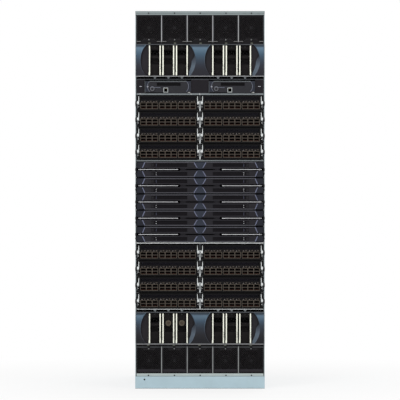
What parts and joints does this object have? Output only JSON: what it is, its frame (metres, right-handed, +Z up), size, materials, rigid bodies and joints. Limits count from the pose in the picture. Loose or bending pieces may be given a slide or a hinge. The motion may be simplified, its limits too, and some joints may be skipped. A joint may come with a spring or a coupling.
{
  "type": "modular chassis switch",
  "caption": "Tall rack chassis switch: sliding leaf, spine, management, fan and power supply modules with ejector levers in a sheet-metal card cage.",
  "frame": {"origin": "middle of the footprint on the floor, under the plinth", "axes": "+Z up the chassis, fronts and levers towards -Y, +X to the right seen from the front"},
  "size_m": [0.442, 0.719, 1.2882],
  "materials": {
    "shell_paint": "pale blue-grey satin",
    "bay_sheet": "grey plated sheet",
    "rear_sheet": "grey satin",
    "board": "circuit board",
    "bezel_paint": "blue-grey moulding",
    "fan_black": "black satin",
    "supply_black": "black satin",
    "manage_face": "dark grey",
    "leaf_cage": "brown-grey",
    "spine_face": "dark grey satin",
    "lever_steel": "brushed"
  },
  "bodies": {
    "chassis": {"chassis_shell": "shell_paint", "bay_frame": "bay_sheet", "rear_panel": "rear_sheet", "midplane": "board", "power_bezels": "bezel_paint"},
    "fan_top_1": {"fan_top_1": "fan_black"},
    "fan_top_2": {"fan_top_2": "fan_black"},
    "fan_top_3": {"fan_top_3": "fan_black"},
    "fan_top_4": {"fan_top_4": "fan_black"},
    "fan_top_5": {"fan_top_5": "fan_black"},
    "fan_bottom_1": {"fan_bottom_1": "fan_black"},
    "fan_bottom_2": {"fan_bottom_2": "fan_black"},
    "fan_bottom_3": {"fan_bottom_3": "fan_black"},
    "fan_bottom_4": {"fan_bottom_4": "fan_black"},
    "fan_bottom_5": {"fan_bottom_5": "fan_black"},
    "supply_top_1": {"supply_top_1": "supply_black"},
    "supply_top_2": {"supply_top_2": "supply_black"},
    "supply_top_3": {"supply_top_3": "supply_black"},
    "supply_top_4": {"supply_top_4": "supply_black"},
    "supply_top_5": {"supply_top_5": "supply_black"},
    "supply_top_6": {"supply_top_6": "supply_black"},
    "supply_bottom_1": {"supply_bottom_1": "supply_black"},
    "supply_bottom_2": {"supply_bottom_2": "supply_black"},
    "supply_bottom_3": {"supply_bottom_3": "supply_black"},
    "supply_bottom_4": {"supply_bottom_4": "supply_black"},
    "supply_bottom_5": {"supply_bottom_5": "supply_black"},
    "supply_bottom_6": {"supply_bottom_6": "supply_black"},
    "management_left": {"management_left": "manage_face"},
    "management_right": {"management_right": "manage_face"},
    "leaf_lower_left_1": {"leaf_lower_left_1": "leaf_cage"},
    "leaf_lower_left_2": {"leaf_lower_left_2": "leaf_cage"},
    "leaf_lower_left_3": {"leaf_lower_left_3": "leaf_cage"},
    "leaf_lower_left_4": {"leaf_lower_left_4": "leaf_cage"},
    "leaf_lower_right_1": {"leaf_lower_right_1": "leaf_cage"},
    "leaf_lower_right_2": {"leaf_lower_right_2": "leaf_cage"},
    "leaf_lower_right_3": {"leaf_lower_right_3": "leaf_cage"},
    "leaf_lower_right_4": {"leaf_lower_right_4": "leaf_cage"},
    "leaf_upper_left_1": {"leaf_upper_left_1": "leaf_cage"},
    "leaf_upper_left_2": {"leaf_upper_left_2": "leaf_cage"},
    "leaf_upper_left_3": {"leaf_upper_left_3": "leaf_cage"},
    "leaf_upper_left_4": {"leaf_upper_left_4": "leaf_cage"},
    "leaf_upper_right_1": {"leaf_upper_right_1": "leaf_cage"},
    "leaf_upper_right_2": {"leaf_upper_right_2": "leaf_cage"},
    "leaf_upper_right_3": {"leaf_upper_right_3": "leaf_cage"},
    "leaf_upper_right_4": {"leaf_upper_right_4": "leaf_cage"},
    "spine_1": {"spine_1": "spine_face"},
    "spine_lever_1_left": {"spine_lever_1_left": "lever_steel"},
    "spine_lever_1_right": {"spine_lever_1_right": "lever_steel"},
    "spine_2": {"spine_2": "spine_face"},
    "spine_lever_2_left": {"spine_lever_2_left": "lever_steel"},
    "spine_lever_2_right": {"spine_lever_2_right": "lever_steel"},
    "spine_3": {"spine_3": "spine_face"},
    "spine_lever_3_left": {"spine_lever_3_left": "lever_steel"},
    "spine_lever_3_right": {"spine_lever_3_right": "lever_steel"},
    "spine_4": {"spine_4": "spine_face"},
    "spine_lever_4_left": {"spine_lever_4_left": "lever_steel"},
    "spine_lever_4_right": {"spine_lever_4_right": "lever_steel"},
    "spine_5": {"spine_5": "spine_face"},
    "spine_lever_5_left": {"spine_lever_5_left": "lever_steel"},
    "spine_lever_5_right": {"spine_lever_5_right": "lever_steel"}
  },
  "joints": [
    {"name": "fan_top_1_slide", "type": "slide", "parent": "chassis", "child": "fan_top_1", "axis": [0, -1, 0], "range_m": [0, 0.14]},
    {"name": "fan_top_2_slide", "type": "slide", "parent": "chassis", "child": "fan_top_2", "axis": [0, -1, 0], "range_m": [0, 0.14]},
    {"name": "fan_top_3_slide", "type": "slide", "parent": "chassis", "child": "fan_top_3", "axis": [0, -1, 0], "range_m": [0, 0.14]},
    {"name": "fan_top_4_slide", "type": "slide", "parent": "chassis", "child": "fan_top_4", "axis": [0, -1, 0], "range_m": [0, 0.14]},
    {"name": "fan_top_5_slide", "type": "slide", "parent": "chassis", "child": "fan_top_5", "axis": [0, -1, 0], "range_m": [0, 0.14]},
    {"name": "fan_bottom_1_slide", "type": "slide", "parent": "chassis", "child": "fan_bottom_1", "axis": [0, -1, 0], "range_m": [0, 0.14]},
    {"name": "fan_bottom_2_slide", "type": "slide", "parent": "chassis", "child": "fan_bottom_2", "axis": [0, -1, 0], "range_m": [0, 0.14]},
    {"name": "fan_bottom_3_slide", "type": "slide", "parent": "chassis", "child": "fan_bottom_3", "axis": [0, -1, 0], "range_m": [0, 0.14]},
    {"name": "fan_bottom_4_slide", "type": "slide", "parent": "chassis", "child": "fan_bottom_4", "axis": [0, -1, 0], "range_m": [0, 0.14]},
    {"name": "fan_bottom_5_slide", "type": "slide", "parent": "chassis", "child": "fan_bottom_5", "axis": [0, -1, 0], "range_m": [0, 0.14]},
    {"name": "supply_top_1_slide", "type": "slide", "parent": "chassis", "child": "supply_top_1", "axis": [0, -1, 0], "range_m": [0, 0.32]},
    {"name": "supply_top_2_slide", "type": "slide", "parent": "chassis", "child": "supply_top_2", "axis": [0, -1, 0], "range_m": [0, 0.32]},
    {"name": "supply_top_3_slide", "type": "slide", "parent": "chassis", "child": "supply_top_3", "axis": [0, -1, 0], "range_m": [0, 0.32]},
    {"name": "supply_top_4_slide", "type": "slide", "parent": "chassis", "child": "supply_top_4", "axis": [0, -1, 0], "range_m": [0, 0.32]},
    {"name": "supply_top_5_slide", "type": "slide", "parent": "chassis", "child": "supply_top_5", "axis": [0, -1, 0], "range_m": [0, 0.32]},
    {"name": "supply_top_6_slide", "type": "slide", "parent": "chassis", "child": "supply_top_6", "axis": [0, -1, 0], "range_m": [0, 0.32]},
    {"name": "supply_bottom_1_slide", "type": "slide", "parent": "chassis", "child": "supply_bottom_1", "axis": [0, -1, 0], "range_m": [0, 0.32]},
    {"name": "supply_bottom_2_slide", "type": "slide", "parent": "chassis", "child": "supply_bottom_2", "axis": [0, -1, 0], "range_m": [0, 0.32]},
    {"name": "supply_bottom_3_slide", "type": "slide", "parent": "chassis", "child": "supply_bottom_3", "axis": [0, -1, 0], "range_m": [0, 0.32]},
    {"name": "supply_bottom_4_slide", "type": "slide", "parent": "chassis", "child": "supply_bottom_4", "axis": [0, -1, 0], "range_m": [0, 0.32]},
    {"name": "supply_bottom_5_slide", "type": "slide", "parent": "chassis", "child": "supply_bottom_5", "axis": [0, -1, 0], "range_m": [0, 0.32]},
    {"name": "supply_bottom_6_slide", "type": "slide", "parent": "chassis", "child": "supply_bottom_6", "axis": [0, -1, 0], "range_m": [0, 0.32]},
    {"name": "management_left_slide", "type": "slide", "parent": "chassis", "child": "management_left", "axis": [0, -1, 0], "range_m": [0, 0.26]},
    {"name": "management_right_slide", "type": "slide", "parent": "chassis", "child": "management_right", "axis": [0, -1, 0], "range_m": [0, 0.26]},
    {"name": "leaf_lower_left_1_slide", "type": "slide", "parent": "chassis", "child": "leaf_lower_left_1", "axis": [0, -1, 0], "range_m": [0, 0.45]},
    {"name": "leaf_lower_left_2_slide", "type": "slide", "parent": "chassis", "child": "leaf_lower_left_2", "axis": [0, -1, 0], "range_m": [0, 0.45]},
    {"name": "leaf_lower_left_3_slide", "type": "slide", "parent": "chassis", "child": "leaf_lower_left_3", "axis": [0, -1, 0], "range_m": [0, 0.45]},
    {"name": "leaf_lower_left_4_slide", "type": "slide", "parent": "chassis", "child": "leaf_lower_left_4", "axis": [0, -1, 0], "range_m": [0, 0.45]},
    {"name": "leaf_lower_right_1_slide", "type": "slide", "parent": "chassis", "child": "leaf_lower_right_1", "axis": [0, -1, 0], "range_m": [0, 0.45]},
    {"name": "leaf_lower_right_2_slide", "type": "slide", "parent": "chassis", "child": "leaf_lower_right_2", "axis": [0, -1, 0], "range_m": [0, 0.45]},
    {"name": "leaf_lower_right_3_slide", "type": "slide", "parent": "chassis", "child": "leaf_lower_right_3", "axis": [0, -1, 0], "range_m": [0, 0.45]},
    {"name": "leaf_lower_right_4_slide", "type": "slide", "parent": "chassis", "child": "leaf_lower_right_4", "axis": [0, -1, 0], "range_m": [0, 0.45]},
    {"name": "leaf_upper_left_1_slide", "type": "slide", "parent": "chassis", "child": "leaf_upper_left_1", "axis": [0, -1, 0], "range_m": [0, 0.45]},
    {"name": "leaf_upper_left_2_slide", "type": "slide", "parent": "chassis", "child": "leaf_upper_left_2", "axis": [0, -1, 0], "range_m": [0, 0.45]},
    {"name": "leaf_upper_left_3_slide", "type": "slide", "parent": "chassis", "child": "leaf_upper_left_3", "axis": [0, -1, 0], "range_m": [0, 0.45]},
    {"name": "leaf_upper_left_4_slide", "type": "slide", "parent": "chassis", "child": "leaf_upper_left_4", "axis": [0, -1, 0], "range_m": [0, 0.45]},
    {"name": "leaf_upper_right_1_slide", "type": "slide", "parent": "chassis", "child": "leaf_upper_right_1", "axis": [0, -1, 0], "range_m": [0, 0.45]},
    {"name": "leaf_upper_right_2_slide", "type": "slide", "parent": "chassis", "child": "leaf_upper_right_2", "axis": [0, -1, 0], "range_m": [0, 0.45]},
    {"name": "leaf_upper_right_3_slide", "type": "slide", "parent": "chassis", "child": "leaf_upper_right_3", "axis": [0, -1, 0], "range_m": [0, 0.45]},
    {"name": "leaf_upper_right_4_slide", "type": "slide", "parent": "chassis", "child": "leaf_upper_right_4", "axis": [0, -1, 0], "range_m": [0, 0.45]},
    {"name": "spine_1_slide", "type": "slide", "parent": "chassis", "child": "spine_1", "axis": [0, -1, 0], "range_m": [0, 0.45]},
    {"name": "spine_lever_1_left_pivot", "type": "hinge", "parent": "spine_1", "child": "spine_lever_1_left", "pos_m": [-0.204, -0.3475, 0.52587], "axis": [0, 0, -1], "range_deg": [0, 65]},
    {"name": "spine_lever_1_right_pivot", "type": "hinge", "parent": "spine_1", "child": "spine_lever_1_right", "pos_m": [0.204, -0.3475, 0.52587], "axis": [0, 0, 1], "range_deg": [0, 65]},
    {"name": "spine_2_slide", "type": "slide", "parent": "chassis", "child": "spine_2", "axis": [0, -1, 0], "range_m": [0, 0.45]},
    {"name": "spine_lever_2_left_pivot", "type": "hinge", "parent": "spine_2", "child": "spine_lever_2_left", "pos_m": [-0.204, -0.3475, 0.58122], "axis": [0, 0, -1], "range_deg": [0, 65]},
    {"name": "spine_lever_2_right_pivot", "type": "hinge", "parent": "spine_2", "child": "spine_lever_2_right", "pos_m": [0.204, -0.3475, 0.58122], "axis": [0, 0, 1], "range_deg": [0, 65]},
    {"name": "spine_3_slide", "type": "slide", "parent": "chassis", "child": "spine_3", "axis": [0, -1, 0], "range_m": [0, 0.45]},
    {"name": "spine_lever_3_left_pivot", "type": "hinge", "parent": "spine_3", "child": "spine_lever_3_left", "pos_m": [-0.204, -0.3475, 0.63658], "axis": [0, 0, -1], "range_deg": [0, 65]},
    {"name": "spine_lever_3_right_pivot", "type": "hinge", "parent": "spine_3", "child": "spine_lever_3_right", "pos_m": [0.204, -0.3475, 0.63658], "axis": [0, 0, 1], "range_deg": [0, 65]},
    {"name": "spine_4_slide", "type": "slide", "parent": "chassis", "child": "spine_4", "axis": [0, -1, 0], "range_m": [0, 0.45]},
    {"name": "spine_lever_4_left_pivot", "type": "hinge", "parent": "spine_4", "child": "spine_lever_4_left", "pos_m": [-0.204, -0.3475, 0.69193], "axis": [0, 0, -1], "range_deg": [0, 65]},
    {"name": "spine_lever_4_right_pivot", "type": "hinge", "parent": "spine_4", "child": "spine_lever_4_right", "pos_m": [0.204, -0.3475, 0.69193], "axis": [0, 0, 1], "range_deg": [0, 65]},
    {"name": "spine_5_slide", "type": "slide", "parent": "chassis", "child": "spine_5", "axis": [0, -1, 0], "range_m": [0, 0.45]},
    {"name": "spine_lever_5_left_pivot", "type": "hinge", "parent": "spine_5", "child": "spine_lever_5_left", "pos_m": [-0.204, -0.3475, 0.74728], "axis": [0, 0, -1], "range_deg": [0, 65]},
    {"name": "spine_lever_5_right_pivot", "type": "hinge", "parent": "spine_5", "child": "spine_lever_5_right", "pos_m": [0.204, -0.3475, 0.74728], "axis": [0, 0, 1], "range_deg": [0, 65]}
  ]
}
